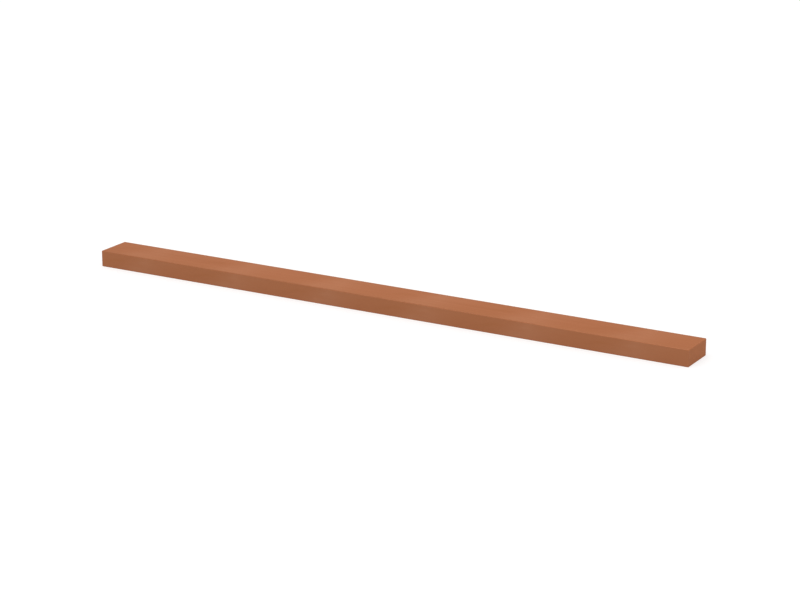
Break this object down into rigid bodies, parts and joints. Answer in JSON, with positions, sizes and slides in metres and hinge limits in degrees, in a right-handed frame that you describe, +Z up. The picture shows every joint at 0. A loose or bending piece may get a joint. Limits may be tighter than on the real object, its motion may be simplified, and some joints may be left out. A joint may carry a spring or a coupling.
{
  "type": "copper busbar",
  "caption": "Plain flat copper busbar: a drawn bar of rectangular section with small edge rounds, sawn to length and deburred at both ends.",
  "frame": {"origin": "middle of the underside, the broad face that the bar lies on", "axes": "+X along the bar, +Y across its broad face, +Z up through its thickness"},
  "size_m": [0.196, 0.012, 0.005],
  "materials": {
    "drawn_copper": "satin"
  },
  "bodies": {
    "root": {"copper_bar": "drawn_copper"}
  },
  "joints": []
}
